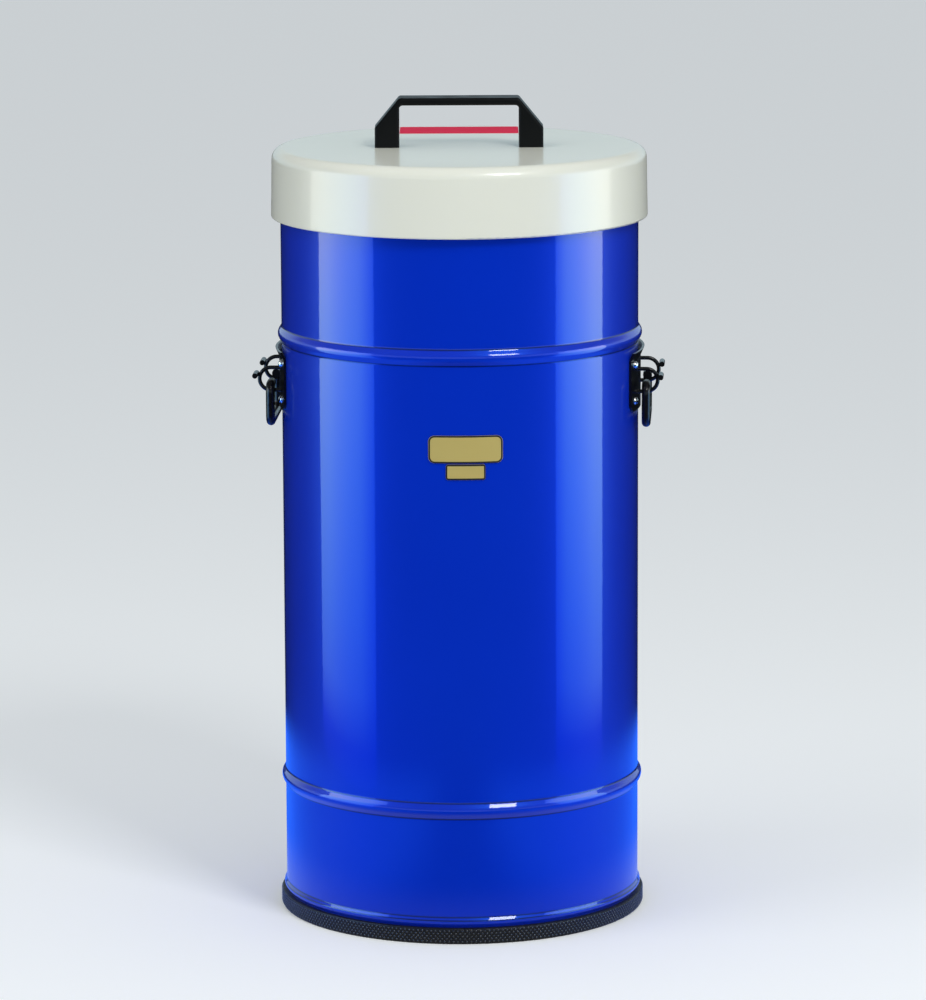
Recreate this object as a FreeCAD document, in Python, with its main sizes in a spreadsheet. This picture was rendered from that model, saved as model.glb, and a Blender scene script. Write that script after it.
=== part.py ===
"""Insulated dewar vessel: blue casing, glass flask, lifting lid and two drop handles.

Millimetres, +Z up. The origin is the centre of the foot, on the floor.
The front of the vessel faces -Y, and the side handles point to +X and -X.
"""

import FreeCAD, Part
import math
import os

import Sketcher

Vector = FreeCAD.Vector

# Angle from +X to the front, in degrees
FRONT = -90

# Driving sizes

SIZES = {
    # Casing: a rolled aluminium tube with three beads
    "casing_radius": 145.0,
    "casing_wall": 1.2,
    "casing_length": 602.7,
    "bead_width": 13.0,
    "bead_rise": 3.0,
    "bead_crown": 5.5,
    "bead_root": 4.0,
    "upper_bead_height": 475.0,
    "lower_bead_height": 108.5,
    "foot_bead_width": 8.0,
    "foot_bead_rise": 2.0,
    "foot_bead_gap": 0.4,
    # Edge trim round the foot
    "trim_lip": 3.95,
    "trim_height": 13.0,
    "trim_web": 3.0,
    "trim_inner_lip": 3.0,
    "trim_inner_height": 11.0,
    "trim_rounding": 1.3,
    # Pressed base
    "base_wall": 1.2,
    "base_height": 15.2,
    "base_knuckle": 4.2,
    "swage_inset": 36.0,
    "swage_depth": 2.0,
    "swage_run": 4.0,
    # Glass flask: two dished walls fused at the rim, with a sealed tip below
    "flask_gap": 3.3,
    "glass_wall": 3.5,
    "vacuum_gap": 8.5,
    "vacuum_bottom_gap": 12.0,
    "flask_crown": 240.0,
    "flask_knuckle": 50.0,
    "flask_rim_wall": 5.0,
    "flask_rim_rounding": 6.0,
    "tip_length": 22.0,
    "tip_radius": 4.0,
    "tip_root_radius": 8.0,
    # Foam under and round the flask
    "cushion_floor": 30.8,
    "cushion_height": 76.8,
    "cushion_hollow": 16.0,
    "foam_gap": 0.3,
    "band_height": 30.0,
    "band_level": 330.0,
    # Neck collar
    "collar_flange": 4.0,
    "collar_lip": 2.0,
    "collar_lip_depth": 8.0,
    "collar_web_depth": 14.0,
    "collar_nose": 0.4,
    "collar_rounding": 1.6,
    # Lid
    "lid_gap": 3.5,
    "lid_draft": 1.0,
    "lid_depth": 56.0,
    "lid_wall": 3.0,
    "lid_rounding": 9.0,
    "lid_rest_gap": 0.3,
    "foam_disc_thickness": 12.0,
    "foam_disc_margin": 1.5,
    "plug_clearance": 2.5,
    "plug_depth": 36.0,
    "plug_taper": 2.0,
    "plug_rounding": 8.0,
    "liner_wall": 1.0,
    # Bow handle on the lid
    "grip_length": 136.0,
    "grip_height": 40.0,
    "grip_depth": 25.0,
    "grip_foot_height": 16.0,
    "grip_leg": 19.7,
    "grip_bar": 6.0,
    "grip_corner": 3.0,
    "grip_edge": 2.0,
    "screw_radius": 2.0,
    "screw_length": 16.0,
    "screw_head_radius": 4.2,
    "screw_head_height": 2.6,
    "screw_clearance": 0.25,
    "washer_radius": 8.0,
    "washer_thickness": 1.5,
    # Label on the lid and plates on the casing front
    "label_width": 98.0,
    "label_depth": 46.0,
    "label_inset": 17.5,
    "label_thickness": 0.3,
    "label_corner": 2.0,
    "badge_width": 59.0,
    "badge_height": 22.0,
    "badge_level": 402.3,
    "badge_thickness": 0.8,
    "badge_corner": 5.0,
    "badge_turn": 1.6,
    "badge_spacing": 1.0,
    "rating_width": 31.6,
    "rating_height": 12.4,
    "rating_corner": 2.0,
    # Drop handles on the sides, set a little round from the side of the vessel
    "handle_turn": -3.0,
    "plate_level": 438.0,
    "plate_rise": 25.5,
    "plate_drop": 23.0,
    "plate_width": 88.0,
    "plate_thickness": 2.0,
    "plate_flare": 3.0,
    "plate_flare_height": 6.9,
    "plate_corner": 8.0,
    "rivet_spread": 33.0,
    "rivet_rise": 14.7,
    "rivet_radius": 1.6,
    "rivet_head_radius": 3.1,
    "rivet_head_height": 2.5,
    "rivet_tail_radius": 2.6,
    "rivet_tail_height": 1.2,
    "staple_spread": 28.5,
    "staple_wire": 1.6,
    "staple_radius": 9.2,
    "staple_reach": 5.0,
    "staple_lift": 1.6,
    "stop_radius": 2.2,
    "stop_length": 17.0,
    "stop_angle": 20.0,
    "stop_weld": 0.4,
    "bail_radius": 3.6,
    "bail_spread": 36.5,
    "bail_drop": 30.5,
    "bail_bend": 6.5,
    "bail_end": 22.0,
    "running_gap": 0.1,
    "fit_gap": 0.05,
}

doc = FreeCAD.newDocument("InsulatedVessel")
sheet = doc.addObject("Spreadsheet::Sheet", "Sizes")
for row, (name, value) in enumerate(SIZES.items(), start=1):
    sheet.set("A%d" % row, name.replace("_", " "))
    sheet.set("B%d" % row, str(value))
    sheet.setAlias("B%d" % row, name)
doc.recompute()


class Size:
    """A length that carries its value and the formula that ties it to the sheet."""

    def __init__(self, value, formula):
        self.value = value
        self.formula = formula

    def __add__(self, other):
        other = as_size(other)
        return Size(self.value + other.value, "(%s + %s)" % (self.formula, other.formula))

    def __sub__(self, other):
        other = as_size(other)
        return Size(self.value - other.value, "(%s - %s)" % (self.formula, other.formula))

    def __mul__(self, other):
        other = as_size(other)
        return Size(self.value * other.value, "(%s * %s)" % (self.formula, other.formula))

    def __truediv__(self, other):
        other = as_size(other)
        return Size(self.value / other.value, "(%s / %s)" % (self.formula, other.formula))

    def __neg__(self):
        return Size(-self.value, "(0 - %s)" % self.formula)

    def __radd__(self, other):
        return as_size(other) + self

    def __rsub__(self, other):
        return as_size(other) - self


def as_size(number):
    """A plain number as a Size, or a Size as it is."""
    if isinstance(number, Size):
        return number
    return Size(float(number), "%r" % float(number))


def size(name):
    """The driving size with this name."""
    return Size(float(sheet.get(name)), "Sizes.%s" % name)


def root(number):
    """Square root of a Size."""
    return Size(math.sqrt(number.value), "sqrt(%s)" % number.formula)


def sine(angle):
    """Sine of an angle in degrees."""
    return Size(math.sin(math.radians(angle.value)), "sin(%s)" % angle.formula)


def cosine(angle):
    """Cosine of an angle in degrees."""
    return Size(math.cos(math.radians(angle.value)), "cos(%s)" % angle.formula)


def angle_across(chord, radius):
    """Angle in degrees that a chord spans on a circle."""
    ratio = chord / (radius * 2)
    value = 2 * math.degrees(math.asin(ratio.value))
    return Size(value, "(2 * asin(%s) / 1 deg)" % ratio.formula)


def bind(target, prop, amount):
    """Tie a property of a feature to the sheet."""
    amount = as_size(amount)
    target.setExpression(prop, amount.formula)


# Sketch helpers

class Arc:
    """Between two points of an outline: they are joined by an arc about this centre."""

    def __init__(self, x, y):
        self.x = as_size(x)
        self.y = as_size(y)


def flat(x, y):
    """A sketch point from two sizes."""
    return Vector(as_size(x).value, as_size(y).value, 0)


class Outline:
    """Draws points, rounded corners (x, y, rounding) and arcs, all tied to the sheet."""

    def __init__(self, sketch):
        self.sketch = sketch
        self.rules = []
        self.ties = []

    def rule(self, *arguments, amount=None):
        self.rules.append(Sketcher.Constraint(*arguments))
        if amount is not None and "Sizes." in amount.formula:
            self.ties.append((len(self.rules) - 1, amount.formula))

    def place(self, geometry, point, x, y):
        """Hold a point of a line, arc or circle at x, y."""
        for kind, axis, amount in (("DistanceX", -2, as_size(x)), ("DistanceY", -1, as_size(y))):
            if amount.formula == "0.0":
                self.rule("PointOnObject", geometry, point, axis)
            else:
                self.rule(kind, -1, 1, geometry, point, amount.value, amount=amount)

    def finish(self):
        self.sketch.addConstraint(self.rules)
        for index, formula in self.ties:
            self.sketch.setExpression("Constraints[%d]" % index, formula)

    def add_arc(self, centre, start, end):
        """Arc by the shorter way. Gives its number and its end names for start and end."""
        first = math.atan2(start.y - centre.y, start.x - centre.x)
        last = math.atan2(end.y - centre.y, end.x - centre.x)
        turn = (last - first + math.pi) % (2 * math.pi) - math.pi
        circle = Part.Circle(centre, Vector(0, 0, 1), start.distanceToPoint(centre))
        if turn > 0:
            number = self.sketch.addGeometry(Part.ArcOfCircle(circle, first, first + turn))
            return number, 1, 2
        number = self.sketch.addGeometry(Part.ArcOfCircle(circle, last, last - turn))
        return number, 2, 1

    def circle(self, x, y, radius):
        radius = as_size(radius)
        number = self.sketch.addGeometry(Part.Circle(flat(x, y), Vector(0, 0, 1), radius.value))
        self.place(number, 3, x, y)
        self.rule("Radius", number, radius.value, amount=radius)

    def axis(self, start, end):
        """Construction line between two points, for a revolution."""
        line = Part.LineSegment(flat(start[0], start[1]), flat(end[0], end[1]))
        number = self.sketch.addGeometry(line, True)
        self.place(number, 1, start[0], start[1])
        self.place(number, 2, end[0], end[1])

    def path(self, items, closed=True):
        """Lines and arcs through the items, closed or open."""
        points = [item for item in items if not isinstance(item, Arc)]
        ends = self.corner_ends(points, closed)
        arc_after = {}
        count = -1
        for item in items:
            if isinstance(item, Arc):
                arc_after[count] = item
            else:
                count += 1
        runs = len(points) if closed else len(points) - 1
        pieces = []
        for index in range(runs):
            following = (index + 1) % len(points)
            start = ends[index][1]
            end = ends[following][0]
            if index in arc_after:
                centre = arc_after[index]
                number, first, last = self.add_arc(flat(centre.x, centre.y), start, end)
                self.hold_centre(number, centre, start, end)
            else:
                number = self.sketch.addGeometry(Part.LineSegment(start, end))
                first, last = 1, 2
            pieces.append((number, first, last))
        for index, point in enumerate(points):
            self.join(index, point, ends, pieces, closed)

    def hold_centre(self, number, centre, start, end):
        """One distance is enough: the centre already lies midway between the ends."""
        if abs(end.y - start.y) > abs(end.x - start.x):
            if centre.x.formula == "0.0":
                self.rule("PointOnObject", number, 3, -2)
            else:
                self.rule("DistanceX", -1, 1, number, 3, centre.x.value, amount=centre.x)
        else:
            self.rule("DistanceY", -1, 1, number, 3, centre.y.value, amount=centre.y)

    def corner_ends(self, points, closed):
        """Where the lines end at each corner: twice the corner, or the rounding's ends."""
        ends = []
        for index, point in enumerate(points):
            corner = flat(point[0], point[1])
            if len(point) == 2:
                ends.append((corner, corner, None))
                continue
            before = points[index - 1]
            after = points[(index + 1) % len(points)]
            back = (flat(before[0], before[1]) - corner).normalize()
            ahead = (flat(after[0], after[1]) - corner).normalize()
            half = back.getAngle(ahead) / 2
            rounding = as_size(point[2]).value
            reach = rounding / math.tan(half)
            centre = corner + (back + ahead).normalize() * (rounding / math.sin(half))
            ends.append((corner + back * reach, corner + ahead * reach, centre))
        return ends

    def join(self, index, point, ends, pieces, closed):
        """Tie the runs before and after a corner to it."""
        is_first = index == 0 and not closed
        is_last = index == len(ends) - 1 and not closed
        after = None if is_last else pieces[index]
        before = None if is_first else pieces[index - 1]
        if len(point) == 2:
            if after:
                self.place(after[0], after[1], point[0], point[1])
                if before:
                    self.rule("Coincident", before[0], before[2], after[0], after[1])
            else:
                self.place(before[0], before[2], point[0], point[1])
            return
        start, end, centre = ends[index]
        number, first, last = self.add_arc(centre, start, end)
        corner = self.sketch.addGeometry(Part.Point(flat(point[0], point[1])), True)
        rounding = as_size(point[2])
        self.place(corner, 1, point[0], point[1])
        self.rule("PointOnObject", corner, 1, before[0])
        self.rule("PointOnObject", corner, 1, after[0])
        self.rule("Tangent", before[0], before[2], number, first)
        self.rule("Tangent", number, last, after[0], after[1])
        self.rule("Radius", number, rounding.value, amount=rounding)


# Body helpers

parts = []


def new_body(label, turn=None):
    """An empty body for one sub-part, turned about the vessel's axis."""
    body = doc.addObject("PartDesign::Body", "Body_" + label)
    body.Label = label
    if turn is not None:
        body.Placement = FreeCAD.Placement(Vector(0, 0, 0), FreeCAD.Rotation(Vector(0, 0, 1), turn.value))
        bind(body, "Placement.Rotation.Angle", turn)
    parts.append(body)
    return body


def plane_of(body, role):
    return [item for item in body.Origin.OriginFeatures if item.Role == role][0]


def new_sketch(body, name, role="XZ_Plane", lift=None, turn=None):
    """Sketch on an origin plane, lifted along its normal or turned about the vessel's axis."""
    sketch = body.newObject("Sketcher::SketchObject", "%s_%s" % (body.Label, name))
    sketch.AttachmentSupport = [(plane_of(body, role), "")]
    sketch.MapMode = "FlatFace"
    if turn is not None:
        rotation = FreeCAD.Rotation(Vector(0, 1, 0), turn.value)
        sketch.AttachmentOffset = FreeCAD.Placement(Vector(0, 0, 0), rotation)
        bind(sketch, "AttachmentOffset.Rotation.Angle", turn)
    if lift is not None:
        lift = as_size(lift)
        sketch.AttachmentOffset = FreeCAD.Placement(Vector(0, 0, lift.value), FreeCAD.Rotation())
        bind(sketch, "AttachmentOffset.Base.z", lift)
    return sketch


def outlined(body, name, items, closed=True, **where):
    """Sketch that holds one outline or one open path."""
    sketch = new_sketch(body, name, **where)
    outline = Outline(sketch)
    outline.path(items, closed)
    outline.finish()
    return sketch


def with_circles(body, name, circles, **where):
    """Sketch of circles, each given as (x, y, radius)."""
    sketch = new_sketch(body, name, **where)
    outline = Outline(sketch)
    for x, y, radius in circles:
        outline.circle(x, y, radius)
    outline.finish()
    return sketch


def feature(body, kind, name, sketch):
    """A sketch-based feature of a body."""
    made = body.newObject("PartDesign::" + kind, "%s_%s" % (body.Label, name))
    made.Profile = sketch
    return made


def turned(body, items, axis="V_Axis", angle=None, name="turned", **where):
    """Solid of revolution, all the way round or a middle sector of it."""
    sketch = outlined(body, name + "_outline", items, **where)
    made = feature(body, "Revolution", name, sketch)
    made.ReferenceAxis = (sketch, [axis])
    if angle is None:
        made.Angle = 360
    else:
        made.Midplane = True
        bind(made, "Angle", angle)
    return made


def turned_about_edge(body, items, name="turned", **where):
    """Solid of revolution about the line from the outline's last point to its first."""
    sketch = new_sketch(body, name + "_outline", **where)
    outline = Outline(sketch)
    outline.path(items)
    outline.axis(items[-1], items[0])
    outline.finish()
    made = feature(body, "Revolution", name, sketch)
    made.ReferenceAxis = (sketch, ["Axis0"])
    made.Angle = 360
    return made


def padded(body, sketch, length, middle=False, name="pad"):
    made = feature(body, "Pad", name, sketch)
    if middle:
        made.SideType = "Symmetric"
    bind(made, "Length", length)
    return made


def drilled(body, name, sketch, depth=None, forward=False):
    """Pocket of a sketch: through everything or to a depth. It has to remove material."""
    doc.recompute()
    full = body.Shape.Volume
    made = feature(body, "Pocket", name, sketch)
    made.Reversed = forward
    if depth is None:
        made.Type = "ThroughAll"
    else:
        bind(made, "Length", depth)
    doc.recompute()
    if body.Shape.Volume >= full:
        raise RuntimeError("%s of %s removes nothing" % (name, body.Label))
    return made


def mirrored(body, original, *roles):
    """Repeat a feature on the other side of one or two origin planes."""
    steps = []
    for role in roles:
        step = doc.addObject("PartDesign::Mirrored", "%s_across_%s" % (body.Label, role))
        step.MirrorPlane = (plane_of(body, role), [""])
        steps.append(step)
    if len(steps) == 1:
        body.addObject(steps[0])
        steps[0].Originals = [original]
        body.Tip = steps[0]
        return steps[0]
    group = body.newObject("PartDesign::MultiTransform", body.Label + "_copies")
    group.Originals = [original]
    for step in steps:
        body.addObject(step)
    group.Transformations = steps
    body.Tip = group
    return group


def rounded_edges(body, name, rounding, wanted):
    """Fillet on the edges for which the wanted test is true."""
    doc.recompute()
    base = body.Tip
    names = []
    for index, edge in enumerate(base.Shape.Edges, start=1):
        if wanted(edge):
            names.append("Edge%d" % index)
    if not names:
        raise RuntimeError("no edges for %s of %s" % (name, body.Label))
    made = body.newObject("PartDesign::Fillet", "%s_%s" % (body.Label, name))
    made.Base = (base, names)
    bind(made, "Radius", rounding)
    return made


def rectangle(left, bottom, right, top):
    """Corners of an upright rectangle."""
    return [(left, bottom), (right, bottom), (right, top), (left, top)]


# Levels and radii that several pieces share

casing_radius = size("casing_radius")
casing_wall = size("casing_wall")
casing_inner = casing_radius - casing_wall
fit_gap = size("fit_gap")
foam_gap = size("foam_gap")
trim_web = size("trim_web")
casing_top = trim_web + size("casing_length")
base_top = size("base_height")
base_inner_top = base_top - size("swage_depth")
flask_radius = casing_inner - size("flask_gap")
flask_bottom = base_top + size("cushion_floor")
glass_wall = size("glass_wall")
flask_rim = casing_top - foam_gap
flask_mouth = flask_radius - glass_wall * 2 - size("vacuum_gap")
collar_top = casing_top + size("collar_flange")
liner_under = collar_top + size("lid_rest_gap")
liner_wall = size("liner_wall")
foam_under = liner_under + liner_wall
lid_inside = foam_under + size("foam_disc_thickness")
lid_wall = size("lid_wall")
lid_radius = casing_radius + size("lid_gap") + lid_wall
lid_top = lid_inside + lid_wall
plate_inner = casing_radius + fit_gap
plate_outer = plate_inner + size("plate_thickness")
rivet_angle = angle_across(size("rivet_spread") * 2, plate_outer) / 2
grip_screw = (size("grip_length") - size("grip_leg")) / 2


def dished_end(radius, crown, knuckle, bottom):
    """Dished bottom of a round wall: crown arc, knuckle arc and where the straight wall starts."""
    crown_centre = bottom + crown
    spread = radius - knuckle
    knuckle_centre = crown_centre - root((crown - knuckle) * (crown - knuckle) - spread * spread)
    share = crown / (crown - knuckle)
    meet = (spread * share, crown_centre - (crown_centre - knuckle_centre) * share)
    return [Arc(0, crown_centre), meet, Arc(spread, knuckle_centre), (radius, knuckle_centre)]


def bead(radius, level, width, rise, crown, root_rounding):
    """Four rounded corners of a rolled bead, from below to above.

    The flat between the upper two is just long enough for their roundings to meet.
    """
    flat_half = crown * rise / width * 1.35
    return [
        (radius, level - width / 2, root_rounding),
        (radius + rise, level - flat_half, crown),
        (radius + rise, level + flat_half, crown),
        (radius, level + width / 2, root_rounding),
    ]


# Casing

def make_outer_shell():
    """Rolled tube with three beads pressed out from inside, drilled for the rivets."""
    body = new_body("outer_shell", size("handle_turn"))
    bead_crown = size("bead_crown")
    bead_root = size("bead_root")
    foot_level = size("trim_height") + size("foot_bead_gap") + size("foot_bead_width") / 2
    beads = [
        (foot_level, size("foot_bead_width"), size("foot_bead_rise"), bead_crown * 0.5, bead_root * 0.5),
        (size("lower_bead_height"), size("bead_width"), size("bead_rise"), bead_crown, bead_root),
        (size("upper_bead_height"), size("bead_width"), size("bead_rise"), bead_crown, bead_root),
    ]
    outside = []
    inside = []
    for level, width, rise, crown, root_rounding in beads:
        outside += bead(casing_radius, level, width, rise, crown, root_rounding)
        inside += bead(casing_inner, level, width, rise, crown - casing_wall, root_rounding + casing_wall * 0.5)
    inside.reverse()
    items = [(casing_inner, trim_web), (casing_radius, trim_web)] + outside
    items += [(casing_radius, casing_top), (casing_inner, casing_top)] + inside
    turned(body, items)
    holes = rivet_holes(body)
    mirrored(body, holes, "XZ_Plane", "YZ_Plane")
    return body


def rivet_holes(body):
    """Two holes, one above the other, at the rivet angle."""
    radius = size("rivet_radius") + fit_gap
    level = size("plate_level")
    circles = [(0, level + size("rivet_rise"), radius), (0, level - size("rivet_rise"), radius)]
    sketch = with_circles(body, "rivet_circles", circles, role="YZ_Plane", turn=rivet_angle)
    return drilled(body, "rivet_holes", sketch, forward=True)


def make_base_trim():
    """U-section edge protector over the casing's edge and the base plate's flange."""
    body = new_body("base_trim")
    rounding = size("trim_rounding")
    outer = casing_radius + size("trim_lip")
    slot_outer = casing_radius + fit_gap
    slot_inner = casing_inner - fit_gap * 2 - size("base_wall")
    inner = slot_inner - size("trim_inner_lip")
    turned(body, [
        (outer, 0, rounding),
        (outer, size("trim_height"), rounding),
        (slot_outer, size("trim_height")),
        (slot_outer, trim_web),
        (slot_inner, trim_web),
        (slot_inner, size("trim_inner_height")),
        (inner, size("trim_inner_height"), rounding),
        (inner, 0, rounding),
    ])
    return body


def make_base_plate():
    """Pressed plate: flange down beside the casing's edge, shallow round swage in the middle."""
    body = new_body("base_plate")
    wall = size("base_wall")
    outer = casing_inner - fit_gap
    knuckle = size("base_knuckle")
    swage = outer - size("swage_inset")
    swage_in = swage - size("swage_run")
    bend = wall * 1.5
    turned(body, [
        (outer, trim_web),
        (outer, base_top, knuckle),
        (swage, base_top, bend),
        (swage_in, base_inner_top, bend),
        (0, base_inner_top),
        (0, base_inner_top - wall),
        (swage_in, base_inner_top - wall, bend),
        (swage, base_top - wall, bend),
        (outer - wall, base_top - wall, knuckle - wall),
        (outer - wall, trim_web),
    ])
    return body


def make_glass_flask():
    """Two dished glass walls, fused at the rim, with a seal-off tip under the outer one."""
    body = new_body("glass_flask")
    crown = size("flask_crown")
    knuckle = size("flask_knuckle")
    bottom = flask_bottom
    gap = size("vacuum_gap")
    rounding = size("flask_rim_rounding")
    tip_radius = size("tip_radius")
    tip_root = size("tip_root_radius")
    tip_level = bottom - size("tip_length")
    inner_bottom = bottom + glass_wall + size("vacuum_bottom_gap")
    outer_inside = flask_radius - glass_wall
    inner_outside = outer_inside - gap
    gap_top = flask_rim - size("flask_rim_wall")
    gap_rounding = gap * 0.45
    crown_inside = crown - glass_wall
    knuckle_inside = knuckle - glass_wall
    tip_root_level = bottom + crown - root(crown * crown - tip_root * tip_root)

    items = [(0, tip_level), Arc(0, tip_level + tip_radius), (tip_radius, tip_level + tip_radius)]
    items += [(tip_root, tip_root_level)]
    items += dished_end(flask_radius, crown, knuckle, bottom)
    items += [(flask_radius, flask_rim, rounding), (flask_mouth, flask_rim, rounding)]
    inner_face = dished_end(flask_mouth, crown_inside - gap - glass_wall,
                            knuckle_inside - gap - glass_wall, inner_bottom + glass_wall)
    inner_face.reverse()
    items += inner_face + [(0, inner_bottom + glass_wall), (0, inner_bottom)]
    items += dished_end(inner_outside, crown_inside - gap, knuckle_inside - gap, inner_bottom)
    items += [(inner_outside, gap_top, gap_rounding), (outer_inside, gap_top, gap_rounding)]
    outer_face = dished_end(outer_inside, crown_inside, knuckle_inside, bottom + glass_wall)
    outer_face.reverse()
    items += outer_face + [(0, bottom + glass_wall)]
    turned(body, items)
    return body


def make_base_cushion():
    """Foam cup that carries the flask, hollow in the middle for the seal-off tip."""
    body = new_body("base_cushion")
    outer = casing_inner - foam_gap
    radius = flask_radius + foam_gap
    crown = size("flask_crown") + foam_gap
    knuckle = size("flask_knuckle") + foam_gap
    bottom = flask_bottom - foam_gap
    hollow = size("cushion_hollow")
    hollow_level = bottom + crown - root(crown * crown - hollow * hollow)
    meet = dished_end(radius, crown, knuckle, bottom)
    knuckle_centre = meet[2]
    top = base_top + size("cushion_height")
    drop = knuckle_centre.y - top
    top_radius = radius - knuckle + root(knuckle * knuckle - drop * drop)
    turned(body, [
        (hollow, base_top),
        (outer, base_top),
        (outer, top),
        (top_radius, top),
        knuckle_centre,
        meet[1],
        Arc(0, bottom + crown),
        (hollow, hollow_level),
    ])
    return body


def make_centring_ring():
    """Foam band that keeps the flask off the casing."""
    body = new_body("centring_ring")
    level = size("band_level")
    inner = flask_radius + fit_gap
    outer = casing_inner - fit_gap
    turned(body, rectangle(inner, level, outer, level + size("band_height")))
    return body


def make_neck_collar():
    """Moulded ring over the casing's edge and the glass rim, with a web between the two."""
    body = new_body("neck_collar")
    rounding = size("collar_rounding")
    lip_inner = casing_radius + fit_gap
    lip_outer = lip_inner + size("collar_lip")
    lip_under = casing_top - size("collar_lip_depth")
    web_outer = casing_inner - fit_gap
    web_inner = flask_radius + foam_gap
    web_under = casing_top - size("collar_web_depth")
    nose = flask_mouth - size("collar_nose")
    turned(body, [
        (nose, collar_top, rounding),
        (nose, casing_top, rounding),
        (web_inner, casing_top),
        (web_inner, web_under, rounding * 0.5),
        (web_outer, web_under, rounding * 0.5),
        (web_outer, casing_top),
        (lip_inner, casing_top),
        (lip_inner, lip_under),
        (lip_outer, lip_under, rounding * 0.5),
        (lip_outer, collar_top, rounding),
    ])
    return body


# Lid

def make_lid_cover():
    """Moulded cap with a slight draft, a rounded shoulder and two screw holes."""
    body = new_body("lid_cover")
    shoulder = size("lid_rounding")
    upper = lid_radius
    lower = upper + size("lid_draft")
    edge = lid_top - size("lid_depth")
    turned(body, [
        (0, lid_inside),
        (upper - lid_wall, lid_inside, shoulder - lid_wall),
        (lower - lid_wall, edge, lid_wall * 0.3),
        (lower, edge, lid_wall * 0.5),
        (upper, lid_top, shoulder),
        (0, lid_top),
    ])
    radius = size("screw_radius") + size("screw_clearance")
    circles = [(grip_screw, 0, radius), (-grip_screw, 0, radius)]
    drilled(body, "screw_holes", with_circles(body, "hole_circles", circles, role="XY_Plane"), forward=True)
    return body


def plug_outline(inset):
    """Half outline of the plug from the axis to its shoulder, moved in by the inset."""
    radius = flask_mouth - size("plug_clearance")
    under = liner_under - size("plug_depth")
    return [
        (0, under + inset),
        (radius - size("plug_taper") - inset, under + inset, size("plug_rounding") - inset),
        (radius - inset, liner_under + inset, size("plug_rounding") * 0.25 + inset),
    ]


def make_lid_foam():
    """Insulating foam: a disc under the cover and a plug for the mouth, with recesses for the screws."""
    body = new_body("lid_foam")
    disc = lid_radius - lid_wall - size("foam_disc_margin")
    inset = liner_wall + fit_gap
    turned(body, plug_outline(inset) + [
        (disc, liner_under + inset),
        (disc, lid_inside, size("lid_rounding") - lid_wall),
        (0, lid_inside),
    ])
    radius = size("washer_radius") + foam_gap
    depth = size("washer_thickness") + size("screw_head_height") + foam_gap
    circles = [(grip_screw, 0, radius), (-grip_screw, 0, radius)]
    sketch = with_circles(body, "recess_circles", circles, role="XY_Plane", lift=lid_inside)
    drilled(body, "recesses", sketch, depth=depth)
    return body


def make_lid_liner():
    """Thin formed skin under the foam. Its flange rests on the neck collar."""
    body = new_body("lid_liner")
    disc = lid_radius - lid_wall - size("foam_disc_margin")
    upper_side = plug_outline(liner_wall)
    upper_side.reverse()
    turned(body, plug_outline(as_size(0)) + [(disc, liner_under), (disc, foam_under)] + upper_side)
    return body


def make_lid_handle():
    """Moulded bow handle: two sloping legs and a thin bar, with screw holes in the feet."""
    body = new_body("lid_handle")
    half = size("grip_length") / 2
    inner = half - size("grip_leg")
    corner = size("grip_corner")
    shoulder = lid_top + size("grip_foot_height")
    top = lid_top + size("grip_height")
    under_bar = top - size("grip_bar")
    sketch = outlined(body, "outline", [
        (-half, lid_top),
        (-half, shoulder, corner),
        (-inner, top, corner),
        (inner, top, corner),
        (half, shoulder, corner),
        (half, lid_top),
        (inner, lid_top),
        (inner, under_bar, corner),
        (-inner, under_bar, corner),
        (-inner, lid_top),
    ])
    padded(body, sketch, size("grip_depth"), middle=True)
    side = size("grip_depth").value / 2
    floor = lid_top.value

    def on_side_face(edge):
        flat_edge = all(abs(abs(vertex.Point.y) - side) < 0.01 for vertex in edge.Vertexes)
        return flat_edge and edge.BoundBox.YLength < 0.01 and edge.BoundBox.ZMax > floor + 0.01

    rounded_edges(body, "edges", size("grip_edge"), on_side_face)
    radius = size("screw_radius") + fit_gap
    circles = [(grip_screw, 0, radius), (-grip_screw, 0, radius)]
    holes = with_circles(body, "hole_circles", circles, role="XY_Plane", lift=lid_top)
    depth = size("screw_length") - lid_wall - size("washer_thickness") + foam_gap
    drilled(body, "screw_holes", holes, depth=depth, forward=True)
    return body


def make_lid_handle_screws():
    """Two pan-head screws that come up through the cover into the handle."""
    body = new_body("lid_handle_screws")
    under_washer = lid_inside - size("washer_thickness")
    head_under = under_washer - size("screw_head_height")
    tip = under_washer + size("screw_length")
    radius = size("screw_radius")
    head = grip_screw + size("screw_head_radius")
    items = [
        (grip_screw, head_under),
        (head, head_under, size("screw_head_height") * 0.6),
        (head, under_washer),
        (grip_screw + radius, under_washer),
        (grip_screw + radius, tip - radius * 0.5),
        (grip_screw + radius * 0.5, tip),
        (grip_screw, tip),
    ]
    made = turned_about_edge(body, items)
    mirrored(body, made, "YZ_Plane")
    return body


def make_lid_handle_washers():
    """Two washers that spread the screws' load under the cover."""
    body = new_body("lid_handle_washers")
    hole = size("screw_radius") + size("screw_clearance")
    circles = []
    for centre in (grip_screw, -grip_screw):
        circles += [(centre, 0, size("washer_radius")), (centre, 0, hole)]
    bottom = lid_inside - size("washer_thickness")
    sketch = with_circles(body, "circles", circles, role="XY_Plane", lift=bottom)
    padded(body, sketch, size("washer_thickness"))
    return body


def make_lid_label():
    """Plain strip on the lid, behind the handle."""
    body = new_body("lid_label")
    half = size("label_width") / 2
    back = lid_radius - size("label_inset")
    front = back - size("label_depth")
    corner = size("label_corner")
    items = [point + (corner,) for point in rectangle(-half, front, half, back)]
    sketch = outlined(body, "outline", items, role="XY_Plane", lift=lid_top)
    padded(body, sketch, size("label_thickness"))
    return body


# Plates on the front

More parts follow.
